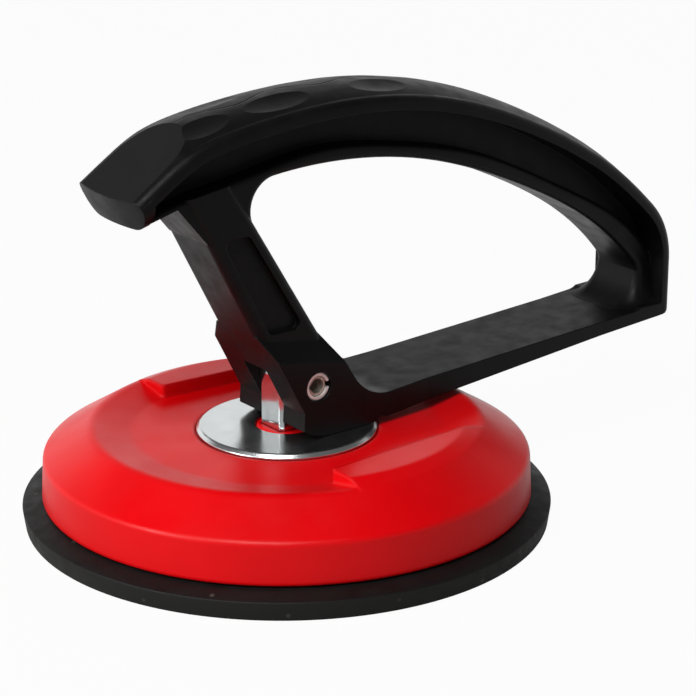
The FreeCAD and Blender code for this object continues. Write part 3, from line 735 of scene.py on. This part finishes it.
@dataclass
class Studio:
    """Pale floor, soft lamps, white surroundings and the camera.

    Attributes:
        azimuth: Side from which the camera looks, in degrees from the front.
        elevation: How far it looks down, in degrees.
        turn: What it looks aside of the part's origin, in degrees.
        distance_mm: Its distance from the origin.
        rise: Angle at which it stands above the floor, in degrees.
        sensor_mm: Width of its sensor.
        focal_in_widths: Focal length over the sensor's width.
        floor_side: Side of the floor in metres.
        floor_drop_mm: Gap between the floor and the sealing face.
        paper: Floor's colour, sRGB hex.
        gloss_share: How white the surroundings and the near floor are in gloss.
        far_gloss_share: How white the floor behind the object is in gloss.
        far_from_mm: Where that floor starts and is full, away from the origin.
        wall_light: Light of the surroundings near the horizon.
        ceiling_light: Their light overhead.
        wall_shoulder: Height at which they start to darken: 1 is overhead.
        wall_top: Height at which they are as dark as overhead.
        dim_share: Share of their light that the near right side keeps.
        dim_range: Where it starts to come back and is full, toward the far left.
        floor_glow: How much of the floor's white the eye sees, the rest being shadow.
        aim: Point that the lamps are turned to, in metres.
        lamps: The lamps.
    """

    azimuth: float = -36.0
    elevation: float = 19.19
    turn: float = -1.4987
    distance_mm: float = 575.0
    rise: float = 22.86
    sensor_mm: float = 36.0
    focal_in_widths: float = 3.604310345
    floor_side: float = 6.0
    floor_drop_mm: float = 0.02
    paper: str = "b0b0b0"
    gloss_share: float = 0.1
    far_gloss_share: float = 0.9
    far_from_mm: tuple[float, float] = (-10.0, 75.0)
    wall_light: float = 0.95
    ceiling_light: float = 0.04
    wall_shoulder: float = 0.42
    wall_top: float = 0.54
    dim_share: float = 0.4
    dim_range: tuple[float, float] = (-0.6, 0.6)
    floor_glow: float = 0.96
    aim: tuple[float, float, float] = (0.02, 0.0, 0.04)
    lamps: tuple[Softbox, ...] = (
        Softbox("key", (-0.72, -0.38, 0.42), 0.35, 4.8),
        Softbox("front", (-0.2, -0.52, 0.78), 0.4, 6.2),
    )

    def directions(self) -> tuple[Vector, Vector]:
        """Level directions as the camera sees them, in the part's own frame.

        Returns:
            The direction to the right and the direction away.
        """
        angle = math.radians(-self.azimuth)
        right = Vector((math.cos(angle), -math.sin(angle), 0))
        away = Vector((math.sin(angle), math.cos(angle), 0))
        return right, away

    def camera(self) -> None:
        """Puts the camera at its place and makes it the scene's."""
        _, away = self.directions()
        rise = math.radians(self.rise)
        toward = -away * math.cos(rise) + Vector((0, 0, math.sin(rise)))
        place = toward * self.distance_mm * MM
        bpy.ops.object.camera_add(
            location=place,
            rotation=(math.radians(90 - self.elevation), 0,
                      math.radians(self.azimuth + self.turn)))
        made = bpy.context.object
        made.name = "camera"
        made.data.sensor_width = self.sensor_mm
        made.data.lens = self.focal_in_widths * self.sensor_mm
        bpy.context.scene.camera = made

    def white_to_eye(self, tree: bpy.types.NodeTree,
                     share: bpy.types.NodeSocket | float) -> bpy.types.NodeSocket:
        """1 for rays from the eye or through glass, a share for rays off gloss, else 0.

        Args:
            tree: Node tree of the floor or the surroundings.
            share: Share for rays off gloss.

        Returns:
            Value socket.
        """
        path = node(tree, "ShaderNodeLightPath")
        gloss = node(tree, "ShaderNodeMath",
                     {0: path.outputs["Is Glossy Ray"], 1: share}, operation="MULTIPLY")
        seen = node(tree, "ShaderNodeMath",
                    {0: path.outputs["Is Camera Ray"], 1: gloss.outputs[0]},
                    operation="MAXIMUM")
        return node(tree, "ShaderNodeMath",
                    {0: seen.outputs[0], 1: path.outputs["Is Transmission Ray"]},
                    operation="MAXIMUM").outputs[0]

    def surroundings(self) -> None:
        """White all round to the eye, and a plain soft light on the object."""
        world = bpy.data.worlds.new("studio")
        bpy.context.scene.world = world
        world.use_nodes = True
        tree = world.node_tree
        tree.nodes.clear()
        sight = node(tree, "ShaderNodeTexCoord").outputs["Generated"]
        height = node(tree, "ShaderNodeSeparateXYZ", {0: sight})
        walls = node(tree, "ShaderNodeMapRange",
                     {"Value": height.outputs[2], "From Min": self.wall_shoulder,
                      "From Max": self.wall_top,
                      "To Min": self.wall_light, "To Max": self.ceiling_light})
        right, away = self.directions()
        far_left = node(tree, "ShaderNodeVectorMath",
                        {0: sight, 1: (away - right).normalized()},
                        operation="DOT_PRODUCT")
        side = node(tree, "ShaderNodeMapRange",
                    {"Value": far_left.outputs["Value"], "From Min": self.dim_range[0],
                     "From Max": self.dim_range[1], "To Min": self.dim_share,
                     "To Max": 1.0})
        light = node(tree, "ShaderNodeMath", {0: walls.outputs[0], 1: side.outputs[0]},
                     operation="MULTIPLY")
        strength = node(tree, "ShaderNodeMath",
                        {0: self.white_to_eye(tree, self.gloss_share), 1: light.outputs[0]},
                        operation="MAXIMUM")
        sky = node(tree, "ShaderNodeBackground",
                   {"Color": WHITE, "Strength": strength.outputs[0]})
        node(tree, "ShaderNodeOutputWorld", {"Surface": sky.outputs[0]})

    def floor(self) -> None:
        """Pale floor that keeps the object's shadow."""
        bpy.ops.object.select_all(action="DESELECT")
        bpy.ops.mesh.primitive_plane_add(
            size=self.floor_side, location=(0, 0, -self.floor_drop_mm * MM))
        made = bpy.context.object
        made.name = "floor"
        bpy.ops.object.transform_apply(location=True, rotation=True, scale=True)
        paper = bpy.data.materials.new("white_paper")
        paper.use_nodes = True
        tree = paper.node_tree
        tree.nodes.clear()
        matt = node(tree, "ShaderNodeBsdfDiffuse", {"Color": linear(self.paper)})
        _, away = self.directions()
        depth = node(tree, "ShaderNodeVectorMath",
                     {0: node(tree, "ShaderNodeTexCoord").outputs["Object"], 1: away},
                     operation="DOT_PRODUCT")
        gloss = node(tree, "ShaderNodeMapRange",
                     {"Value": depth.outputs["Value"],
                      "From Min": self.far_from_mm[0] * MM, "From Max": self.far_from_mm[1] * MM,
                      "To Min": self.gloss_share, "To Max": self.far_gloss_share})
        glow = node(tree, "ShaderNodeEmission", {"Color": WHITE, "Strength": 1.0})
        share = node(tree, "ShaderNodeMath",
                     {0: self.white_to_eye(tree, gloss.outputs[0]), 1: self.floor_glow},
                     operation="MULTIPLY")
        both = node(tree, "ShaderNodeMixShader",
                    {0: share.outputs[0], 1: matt.outputs[0], 2: glow.outputs[0]})
        node(tree, "ShaderNodeOutputMaterial", {"Surface": both.outputs[0]})
        made.data.materials.append(paper)

    def lights(self) -> None:
        """Hangs the lamps, each turned to the object's middle."""
        right, away = self.directions()
        aim = Vector(self.aim)
        for lamp in self.lamps:
            across, back, up = lamp.place
            place = aim + right * across + away * back + Vector((0, 0, up))
            turn = (aim - place).to_track_quat("-Z", "Y").to_euler()
            bpy.ops.object.light_add(type="AREA", location=place, rotation=turn)
            made = bpy.context.object
            made.name = lamp.name
            made.data.size = lamp.side
            made.data.energy = lamp.watts

    def build(self) -> None:
        """Sets up the whole studio."""
        self.camera()
        self.surroundings()
        self.floor()
        self.lights()
        bpy.context.scene.view_settings.view_transform = "Standard"
        log.info("studio: %d lamps", len(self.lamps))


def main() -> None:
    """Builds and dresses the lifter."""
    logging.basicConfig(level=logging.INFO, format="%(name)s: %(message)s")
    for part in (Studio(), Pad(), Hardware(), FlangeRoot()):
        part.build()


if __name__ == "__main__":
    main()
